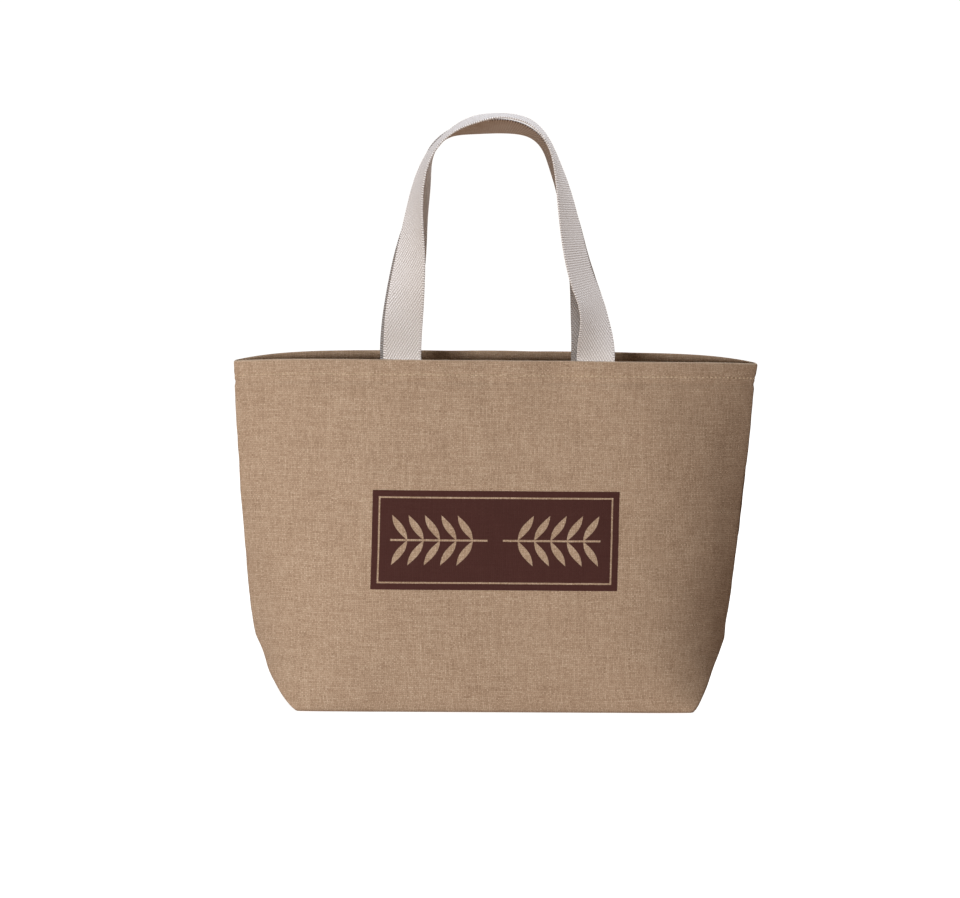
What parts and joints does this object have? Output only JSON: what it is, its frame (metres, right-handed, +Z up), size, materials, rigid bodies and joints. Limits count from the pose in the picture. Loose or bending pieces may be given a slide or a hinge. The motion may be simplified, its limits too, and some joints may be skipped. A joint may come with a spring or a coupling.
{
  "type": "burlap bag",
  "caption": "Burlap shopping bag that stands open on its boxed base, with a hemmed rim and looped cotton webbing handles.",
  "frame": {"origin": "middle of the bounding box's bottom face, on the underside of the base", "axes": "+Z up, +X along the bag's width, to the right of somebody facing its printed front, which looks along -Y"},
  "size_m": [0.488, 0.1392, 0.5477],
  "materials": {
    "burlap": "matte plain-woven jute",
    "webbing": "matte twill cotton webbing"
  },
  "bodies": {
    "root": {"bag_body": "burlap", "handle_front": "webbing", "handle_back": "webbing"}
  },
  "joints": []
}
